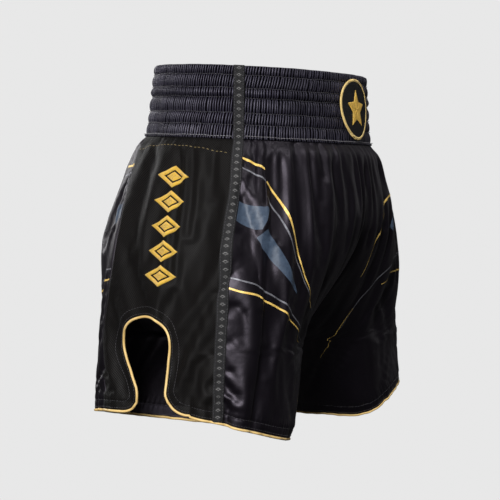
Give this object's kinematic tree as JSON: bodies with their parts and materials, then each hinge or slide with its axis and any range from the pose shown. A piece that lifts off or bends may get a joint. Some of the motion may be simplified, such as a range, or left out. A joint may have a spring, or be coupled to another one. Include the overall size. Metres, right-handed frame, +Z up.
{
  "type": "boxing shorts",
  "caption": "Black satin Thai boxing shorts with a gathered elastic waistband, mesh side panels with arched slits, woven seam tapes, gold piping and plain gold embroidery.",
  "frame": {"origin": "centre of the waist opening, level with the top edge of the waistband", "axes": "+X towards the wearer's left, -Y towards the front of the shorts, +Z up towards the wearer's chest"},
  "size_m": [0.4288, 0.2527, 0.3681],
  "materials": {
    "waistband_satin": "black satin, gathered into fine pleats",
    "elastic": "knitted elastic tape",
    "badge_twill": "tight black twill",
    "gold_thread": "glossy embroidery thread",
    "body_satin": "black satin with a gold, silver and blue-grey print",
    "side_mesh": "open knitted mesh over satin",
    "seam_tape": "woven grosgrain tape",
    "hem_facing": "black satin, turned inside",
    "piping": "satin-covered piping cord",
    "label_satin": "blank white satin ribbon"
  },
  "bodies": {
    "root": {"waistband_casing": "waistband_satin", "elastic_tape_1": "elastic", "elastic_tape_2": "elastic", "elastic_tape_3": "elastic", "elastic_tape_4": "elastic", "elastic_tape_5": "elastic", "elastic_tape_6": "elastic", "badge_patch": "badge_twill", "badge_border": "gold_thread", "badge_emblem": "gold_thread", "front_panel_right": "body_satin", "front_panel_left": "body_satin", "back_panel_right": "body_satin", "back_panel_left": "body_satin", "side_panel_right": "side_mesh", "side_panel_left": "side_mesh", "crotch_gusset": "body_satin", "tape_front_right": "seam_tape", "tape_front_left": "seam_tape", "hem_facing_right": "hem_facing", "hem_facing_left": "hem_facing", "hem_piping_right": "piping", "hem_piping_left": "piping", "side_embroidery_right": "gold_thread", "side_embroidery_left": "gold_thread", "size_label": "label_satin", "care_label": "label_satin"}
  },
  "joints": []
}
